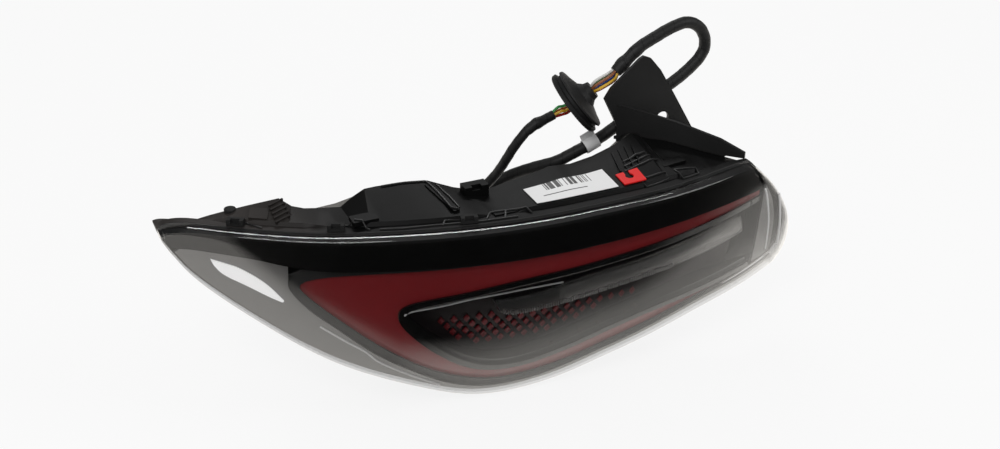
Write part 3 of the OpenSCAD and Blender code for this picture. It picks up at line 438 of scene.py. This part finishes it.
def smoothRoute(points, steps):
    made = []
    route = [Vector(p) for p in points]
    for i in range(len(route) - 1):
        a, b = route[max(i - 1, 0)], route[i]
        c, d = route[i + 1], route[min(i + 2, len(route) - 1)]
        for step in range(steps):
            t = step / steps
            made.append(0.5 * (2 * b + (c - a) * t + (2 * a - 5 * b + 4 * c - d) * t * t
                               + (3 * b - a - 3 * c + d) * t ** 3))
    made.append(route[-1])
    return made


def routeLength(points):
    return sum((b - a).length for a, b in zip(points, points[1:]))


def makeTube(name, points, radiusAt, sides):
    # rings follow the route and keep their turn; the wrap map runs along and around in metres
    rings, run, done = [], [], 0.0
    side = None
    for i, point in enumerate(points):
        way = (points[min(i + 1, len(points) - 1)] - points[max(i - 1, 0)]).normalized()
        side = (way.cross(upHint) if side is None else side - way * side.dot(way)).normalized()
        other = way.cross(side)
        if i:
            done += (point - points[i - 1]).length
        run.append(done)
        rings.append([point + radiusAt(done, k / sides) * (
            side * math.cos(2 * math.pi * k / sides) + other * math.sin(2 * math.pi * k / sides))
            for k in range(sides)])
    corners = [v * mm for ring in rings for v in ring]
    faces = [(i * sides + k, i * sides + (k + 1) % sides, (i + 1) * sides + (k + 1) % sides,
              (i + 1) * sides + k) for i in range(len(rings) - 1) for k in range(sides)]
    last = (len(rings) - 1) * sides
    faces += [tuple(range(sides - 1, -1, -1)), tuple(range(last, last + sides))]
    tube = fromMesh(name, corners, faces)
    layer = tube.data.uv_layers.new(name="wrap")
    for face in tube.data.polygons:
        closing = face.index < len(faces) - 2 and face.index % sides == sides - 1
        for loop in face.loop_indices:
            ring, k = divmod(tube.data.loops[loop].vertex_index, sides)
            wrapped = 1.0 if closing and k == 0 else 0.0
            layer.data[loop].uv = (run[ring] * mm, k / sides + wrapped)
    mesh = bmesh.new()
    mesh.from_mesh(tube.data)
    bmesh.ops.recalc_face_normals(mesh, faces=mesh.faces)
    mesh.to_mesh(tube.data)
    mesh.free()
    pickOnly(tube)
    bpy.ops.object.shade_smooth_by_angle(angle=math.radians(leadValues["smooth"]))
    return tube


def woundLead(name, route, diameter, knots, replaced):
    # each turn of the tape stands a little over the one before it, and knots of tape stand out
    points = smoothRoute(route, leadValues["steps"])

    def radius(run, around):
        lap = (run * leadTurns * mm + around) % 1.0
        bulge = sum(size * math.exp(-((run - at) / width) ** 2) for at, width, size in knots)
        return diameter / 2 - leadValues["lap"] * lap + bulge
    lead = makeTube(name, points, radius, leadValues["sides"])
    settle(lead, "lead_tape", replaced=replaced)
    length = routeLength(points)
    print(name, "is", round(length), "mm long")
    return lead, points, length


leadA, pathA, lengthA = woundLead(
    "leadA", routeLeadA, leadValues["thick"], knotsA, ["lead_a"])
leadB, pathB, lengthB = woundLead(
    "leadB", routeLeadB, leadValues["thin"], knotsB, ["lead_b"])

wireValues = {"diameter": 2.4, "sides": 10, "gap": 0.5, "leadIn": 6.0, "spread": 1.6, "tightest": 0.6,
              "steps": 10, "turn": 20, "seed": 5}
wireColours = {
    "red": (0.62, 0.02, 0.015, 1), "yellow": (0.78, 0.46, 0.03, 1), "brown": (0.3, 0.1, 0.035, 1),
    "green": (0.05, 0.36, 0.09, 1), "blue": (0.03, 0.08, 0.36, 1), "white": (0.72, 0.72, 0.7, 1),
    "orange": (0.72, 0.2, 0.03, 1),
}
wireFinish = {name: wireCover("wire_" + name, colour) for name, colour in wireColours.items()}


def beside(point, way, radius, angle):
    side = way.cross(upHint).normalized()
    other = way.cross(side)
    turn = math.radians(angle)
    return point + radius * (side * math.cos(turn) + other * math.sin(turn))


def wireBundle(name, start, startWay, end, endWay, radius, colours, node):
    # bare wires spread a little between the tape and the grommet
    v = wireValues
    draw = random.Random(v["seed"])
    made = []
    for i, colour in enumerate(colours):
        angle = 360 * i / len(colours) + v["turn"]
        loose = v["spread"] * draw.uniform(v["tightest"], 1.0)
        route = [
            beside(start, startWay, radius, angle),
            beside(start + startWay * v["leadIn"], startWay, radius + loose, angle),
            beside(end - endWay * v["leadIn"], endWay, radius + loose, angle),
            beside(end, endWay, radius, angle),
        ]
        tube = makeTube(name + str(i + 1), smoothRoute(route, v["steps"]),
                        lambda run, around: v["diameter"] / 2, v["sides"])
        made.append(settle(tube, "wire_cover", wireFinish[colour], [node]))
    return made


frontWay = (pathA[-1] - pathA[-3]).normalized()
rearWay = (pathB[2] - pathB[0]).normalized()
frontWires = wireBundle(
    "frontWire", Vector(routeLeadA[-1]) + frontWay * wireValues["gap"], frontWay,
    grommetAt + grommetWay * grommetValues["front"], -grommetWay, grommetValues["frontRing"],
    ["red", "yellow", "brown", "white", "green", "blue"], "wires_front")
rearWires = wireBundle(
    "rearWire", grommetAt - grommetWay * grommetValues["rear"], -grommetWay,
    Vector(routeLeadB[0]) - rearWay * wireValues["gap"], rearWay, grommetValues["rearRing"],
    ["red", "yellow", "green", "orange"], "wires_rear")

round(lengthA * mm, 4)
[p * mm for p in pathA]
round(lengthB * mm, 4)
[p * mm for p in pathB]
print("cords laid")


# Refined copies of the curved CAD skins: merged, smoothed and, where asked, bevelled or subdivided
weldDistance = 0.00001


def refine(nodeName, name, values):
    node = nodes[nodeName]
    piece = bpy.data.objects.new(name, node.data.copy())
    bpy.context.scene.collection.objects.link(piece)
    pickOnly(piece)
    if piece.data.has_custom_normals:
        bpy.ops.mesh.customdata_custom_splitnormals_clear()
    bpy.ops.object.mode_set(mode="EDIT")
    bpy.ops.mesh.select_all(action="SELECT")
    bpy.ops.mesh.remove_doubles(threshold=weldDistance)
    if values.get("quads"):
        bpy.ops.mesh.tris_convert_to_quads(
            face_threshold=math.radians(values["quads"]), shape_threshold=math.radians(180))
    if values.get("levels"):
        bpy.ops.mesh.select_all(action="DESELECT")
        bpy.ops.mesh.select_mode(type="EDGE")
        bpy.ops.mesh.edges_select_sharp(sharpness=math.radians(values["crease"]))
        bpy.ops.transform.edge_crease(value=1)
        bpy.ops.mesh.select_mode(type="VERT")
    bpy.ops.object.mode_set(mode="OBJECT")
    if values.get("bevel"):
        bevel = piece.modifiers.new("softEdge", "BEVEL")
        bevel.width = values["bevel"] * mm
        bevel.segments = 2
        bevel.limit_method = "ANGLE"
        bevel.angle_limit = math.radians(values["bevelAngle"])
        bpy.ops.object.modifier_apply(modifier=bevel.name)
    if values.get("levels"):
        smooth = piece.modifiers.new("smooth", "SUBSURF")
        smooth.levels = smooth.render_levels = values["levels"]
        bpy.ops.object.modifier_apply(modifier=smooth.name)
    bpy.ops.object.shade_smooth_by_angle(angle=math.radians(values["smooth"]))
    material = finishes[values["finish"]] if "finish" in values else None
    return settle(piece, slotOf[nodeName], material, [nodeName])


curvedSkins = {
    "outer_lens": ("lensCover", {"quads": 60, "levels": 1, "crease": 60, "smooth": 50}),
    "lens_border": ("borderSkin", {"quads": 60, "smooth": 35}),
    "silver_bezel": ("silverLeaf", {"quads": 60, "smooth": 35}),
    # the white strip is a painted reflection with a painted glow
    "side_light_insert": ("whiteStrip", {"quads": 60, "levels": 1, "crease": 60, "smooth": 50}),
    "red_frame": ("redSurround", {"quads": 60, "smooth": 35}),
    "red_lens": ("redTail", {"quads": 60, "levels": 1, "crease": 60, "smooth": 50}),
    "window_bezel": ("windowSurround", {"quads": 60, "smooth": 35}),
    # the end trim takes a lighter finish that paints the highlight bands at the lens's end
    "end_trim": ("endTrimSkin", {"quads": 60, "smooth": 35, "finish": "highlight_trim"}),
    "pattern_plate": ("patternSkin", {"quads": 60, "smooth": 35}),
    "light_blade": ("clearBlade", {"quads": 60, "smooth": 35, "finish": "milky"}),
    "gems": ("redGems", {"quads": 20, "bevel": 0.5, "bevelAngle": 40, "smooth": 30}),
    "housing": ("housingShell", {"smooth": 24}),
    "side_bracket": ("sideBracketShell", {"smooth": 24}),
}
for nodeName, (pieceName, values) in curvedSkins.items():
    refine(nodeName, pieceName, values)
print("curved skins refined")


# Fine ribs and outlines moulded on the housing: points in plan, dropped on its skin
def skinOf(pieceName):
    mesh = bpy.data.objects[pieceName].data
    return BVHTree.FromPolygons([v.co for v in mesh.vertices], [tuple(f.vertices) for f in mesh.polygons])


housingSkin = skinOf("housingShell")
bladeSkin = skinOf("clearBlade")
rayTop, rayFront = 200, -180


def heightOn(skin, x, y, fallback=None):
    place = skin.ray_cast(Vector((x, y, rayTop)) * mm, Vector((0, 0, -1)))[0]
    return place.z / mm if place else fallback


ribValues = {"height": 1.1, "width": 1.2, "sink": 0.5, "step": 5.0, "edge": 0.25, "smooth": 40}
ribRoutes = {
    "tipOutline": [(-165, -56), (-159, -57), (-150, -69)],
    "middleOutline": [(-94, -85), (-80, -95), (-77, -103)],
    "crestLine": [(-52, -58), (-29, -61), (-17, -63)],
    "finEdge": [(-17, -63), (-14, -81), (-12, -104), (-8, -107), (-5, -103), (-6, -84), (-9, -66)],
    "leftRecess": [(-25, -119), (-21, -113), (2, -119), (1, -123)],
    "rightRecess": [(9, -123), (15, -115), (43, -120), (45, -127)],
    "recessDivider": [(27, -118), (23, -126)],
    "frontStep": [(-70, -105), (-54, -111), (-26, -117), (3, -124), (33, -128)],
    "bossRibA": [(142, -92), (165, -86)],
    "bossRibB": [(140, -98), (168, -90)],
    "bossRibC": [(138, -104), (172, -95)],
    "leftBox": [(144, -118), (169, -114), (168, -121), (146, -125), (144, -118)],
    "rightBox": [(178, -112), (197, -114), (196, -121), (180, -124), (178, -112)],
}


def addRib(name, route, values):
    spots = []
    for (x0, y0), (x1, y1) in zip(route, route[1:]):
        steps = max(1, round(math.hypot(x1 - x0, y1 - y0) / values["step"]))
        spots += [(x0 + (x1 - x0) * i / steps, y0 + (y1 - y0) * i / steps) for i in range(steps)]
    spots.append(route[-1])
    level, points = None, []
    for x, y in spots:
        level = heightOn(housingSkin, x, y, level)
        if level is not None:
            points.append(Vector((x, y, level - values["sink"])) * mm)
    bpy.ops.object.select_all(action="DESELECT")
    bpy.ops.mesh.primitive_plane_add(size=0.001, location=(0, 0, 0))
    piece = bpy.context.object
    piece.name = name
    bpy.ops.object.mode_set(mode="EDIT")
    bpy.ops.mesh.merge(type="CENTER")
    bpy.ops.transform.translate(value=points[0])
    for start, end in zip(points, points[1:]):
        bpy.ops.mesh.extrude_vertices_move(TRANSFORM_OT_translate={"value": end - start})
    bpy.ops.mesh.select_all(action="SELECT")
    rise = (0, 0, (values["height"] + values["sink"]) * mm)
    bpy.ops.mesh.extrude_region_move(TRANSFORM_OT_translate={"value": rise})
    bpy.ops.object.mode_set(mode="OBJECT")
    wall = piece.modifiers.new("wall", "SOLIDIFY")
    wall.thickness = values["width"] * mm
    wall.offset = 0
    bpy.ops.object.modifier_apply(modifier=wall.name)
    soft = piece.modifiers.new("soft", "BEVEL")
    soft.width = values["edge"] * mm
    soft.segments = 2
    bpy.ops.object.modifier_apply(modifier=soft.name)
    bpy.ops.object.shade_smooth_by_angle(angle=math.radians(values["smooth"]))
    # the rib's lighter finish paints a highlight along it
    return settle(piece, "housing_black", finishes["rib_highlight"])


for name, route in ribRoutes.items():
    addRib(name, route, ribValues)


def addCap(values):
    # round plug over a moulding gate near the tip
    x, y = values["place"]
    z = heightOn(housingSkin, x, y) + values["lift"]
    bpy.ops.object.select_all(action="DESELECT")
    bpy.ops.mesh.primitive_cylinder_add(vertices=48, radius=values["radius"] * mm, depth=values["tall"] * mm,
                                        location=(x * mm, y * mm, z * mm))
    cap = bpy.context.object
    cap.name = "roundCap"
    bpy.ops.object.transform_apply(location=True, rotation=True, scale=True)
    bpy.ops.object.mode_set(mode="EDIT")
    bpy.ops.mesh.select_all(action="SELECT")
    bpy.ops.mesh.bevel(offset=values["edge"] * mm, segments=3, affect="EDGES")
    bpy.ops.object.mode_set(mode="OBJECT")
    bpy.ops.object.shade_smooth_by_angle(angle=math.radians(values["smooth"]))
    settle(cap, "pad_rubber")


addCap({"place": (-166.3, -39.1), "radius": 4.6, "tall": 2.6, "lift": 0.3, "edge": 0.5, "smooth": 35})
print("housing details added")


# The clear blade: small upright flutes along its lower front edge
fluteValues = {"from": 20, "to": 172, "pitch": 2.0, "wide": 1.1, "deep": 1.2, "tall": 3.6, "edge": 0.25,
               "forward": 1.4, "lowest": -26, "highest": 12, "smooth": 35}


def addFlutes(values):
    bpy.ops.object.select_all(action="DESELECT")
    bpy.ops.mesh.primitive_cube_add(size=1, location=(0, 0, 0))
    first = bpy.context.object
    first.scale = (values["wide"] * mm, values["deep"] * mm, values["tall"] * mm)
    bpy.ops.object.transform_apply(location=False, rotation=False, scale=True)
    bpy.ops.object.mode_set(mode="EDIT")
    bpy.ops.mesh.select_all(action="SELECT")
    bpy.ops.mesh.bevel(offset=values["edge"] * mm, segments=2, affect="EDGES")
    bpy.ops.object.mode_set(mode="OBJECT")
    flutes = []
    count = int((values["to"] - values["from"]) / values["pitch"])
    for i in range(count):
        x = values["from"] + i * values["pitch"]
        for z in range(values["lowest"], values["highest"]):
            place = bladeSkin.ray_cast(Vector((x, rayFront, z)) * mm, Vector((0, 1, 0)))[0]
            if place:
                flute = bpy.data.objects.new("flute", first.data.copy())
                bpy.context.scene.collection.objects.link(flute)
                shift = Vector((0, -values["forward"], values["tall"] / 2)) * mm
                flute.data.transform(Matrix.Translation(place + shift))
                flutes.append(flute)
                break
    bpy.data.objects.remove(first)
    bpy.ops.object.select_all(action="DESELECT")
    for flute in flutes:
        flute.select_set(True)
    bpy.context.view_layer.objects.active = flutes[0]
    bpy.ops.object.join()
    row = bpy.context.object
    row.name = "bladeFlutes"
    bpy.ops.object.shade_smooth_by_angle(angle=math.radians(values["smooth"]))
    settle(row, "clear_guide", finishes["frosted"])


addFlutes(fluteValues)

# Painted highlights: bright beads laid as pieces where bright highlight lines fall, from the window's nose
# to the blade, along the leaf's crest, and inside the lens's end
beadValues = {"steps": 8, "sides": 12}
highlightBeadRoutes = {
    "bladeBead": ([(-59, -122, -4), (-52, -119, -4), (-28, -116, -7), (-4, -119, -5), (20, -122, -4),
                   (45, -125, -3), (73, -127, -3)], 0.7, "silver_trim", "painted_highlight"),
    "crestBead": ([(-119, -98.3, -12), (-102, -103.8, -26), (-87, -107.3, -38), (-76, -108.6, -50),
                   (-52, -111, -67), (-28, -112.1, -82)], 0.9, "silver_trim", "painted_highlight"),
    "endRibInner": ([(260, -124, 40), (263, -124, 30), (268, -122, 5), (273, -114, -24)], 0.9,
                    "clear_lens", "painted_highlight"),
    "endRibOuter": ([(278, -119, 30), (280, -119, 19), (284, -116, -2), (289, -108, -25)], 1.1,
                    "clear_lens", "painted_highlight"),
}
for name, (route, radius, slotName, finishName) in highlightBeadRoutes.items():
    bead = makeTube(
        name, smoothRoute(route, beadValues["steps"]), lambda run, around: radius, beadValues["sides"])
    settle(bead, slotName, finishes[finishName])
print("blade flutes and beads added")

# Floor, world and lamps: the lens mirrors only what lies in front of it and below
stageValues = {"floorZ": -0.1025, "floorSize": 60.0, "floorColour": 0.8, "soft": 0.5, "mirrored": 0.1,
               "seenWhite": 0.86}
floorEdge = {"left": (-0.65, -0.433), "leftEnd": (-0.1, -0.165), "middle": (-0.03, -0.165),
             "right": (0.5, -0.29), "dark": 0.012, "soft": 22.0, "warm": (1.0, 0.965, 0.91, 1), "near": 1.2}


def addFloor(values, edge):
    bpy.ops.object.select_all(action="DESELECT")
    bpy.ops.mesh.primitive_plane_add(size=values["floorSize"], location=(0, 0, values["floorZ"]))
    floor = bpy.context.object
    floor.name = "paleFloor"
    finish = Finish("paleFloor")
    speck = finish.noise(40, 3)
    shade = values["floorColour"]
    pale = finish.surface({
        "Base Color": finish.mix(speck, grey(shade), grey(shade - 0.02)),
        "Roughness": 0.9, "Specular IOR Level": 0.1})
    white = finish.surface({"Color": grey(1), "Strength": 1.0}, "Emission")
    black = finish.surface({"Color": grey(edge["dark"]), "Strength": 1.0}, "Emission")
    x, y, z = finish.axes()

    def lineThrough(start, end):
        slope = (end[1] - start[1]) / (end[0] - start[0])
        return (x - start[0]) * slope + start[1]
    leftLine = lineThrough(edge["left"], edge["leftEnd"])
    rightLine = lineThrough(edge["middle"], edge["right"])
    beyond = (leftLine.join("MINIMUM", leftLine, rightLine) - y) * edge["soft"] + 0.5
    beyond = finish.add("Clamp", {}, {0: beyond, 1: 0.0, 2: 1.0})
    near = finish.surface({"Color": edge["warm"], "Strength": edge["near"]}, "Emission")
    far = finish.add("MixShader", {}, {0: beyond, 1: near, 2: black})
    mirrored = finish.add("LightPath", {}, {}, "Is Glossy Ray")
    seen = finish.add("LightPath", {}, {}, "Is Camera Ray")
    bright = finish.add("MixShader", {}, {0: seen * values["seenWhite"], 1: pale, 2: white})
    floor.data.materials.append(finish.done(
        finish.add("MixShader", {}, {0: mirrored, 1: bright, 2: far})))


def addWorld(values):
    world = bpy.data.worlds.new("studio")
    bpy.context.scene.world = world
    world.use_nodes = True
    tree = world.node_tree
    tree.nodes.clear()
    path = tree.nodes.new("ShaderNodeLightPath")
    white, soft, dim = [tree.nodes.new("ShaderNodeBackground") for level in range(3)]
    for shade, level in ((white, 1.0), (soft, values["soft"]), (dim, values["mirrored"])):
        shade.inputs["Color"].default_value = grey(1)
        shade.inputs["Strength"].default_value = level
    mixes = [tree.nodes.new("ShaderNodeMixShader") for step in range(3)]
    steps = (("Is Glossy Ray", soft, dim), ("Is Transmission Ray", mixes[0], white),
             ("Is Camera Ray", mixes[1], white))
    for mix, (ray, first, second) in zip(mixes, steps):
        tree.links.new(path.outputs[ray], mix.inputs[0])
        tree.links.new(first.outputs[0], mix.inputs[1])
        tree.links.new(second.outputs[0], mix.inputs[2])
    out = tree.nodes.new("ShaderNodeOutputWorld")
    tree.links.new(mixes[2].outputs[0], out.inputs["Surface"])


def addLamp(name, place, aim, size, power):
    data = bpy.data.lights.new(name, "AREA")
    data.shape = "RECTANGLE"
    data.size, data.size_y = size
    data.energy = power
    lamp = bpy.data.objects.new(name, data)
    bpy.context.scene.collection.objects.link(lamp)
    lamp.location = place
    lamp.rotation_euler = (Vector(aim) - Vector(place)).to_track_quat("-Z", "Y").to_euler()


lampValues = {
    "keyLamp": ((-0.9, -1.1, 1.5), (0, 0, 0), (0.9, 0.5), 12.0),
    "fillLamp": ((1.3, -0.9, 1.1), (0, 0, 0), (0.7, 0.7), 6.0),
    "rimLamp": ((0.5, 1.4, 1.3), (0, 0, 0), (1.4, 0.12), 6.0),
}
addFloor(stageValues, floorEdge)
addWorld(stageValues)
for name, (place, aim, size, power) in lampValues.items():
    addLamp(name, place, aim, size, power)
print("stage set")
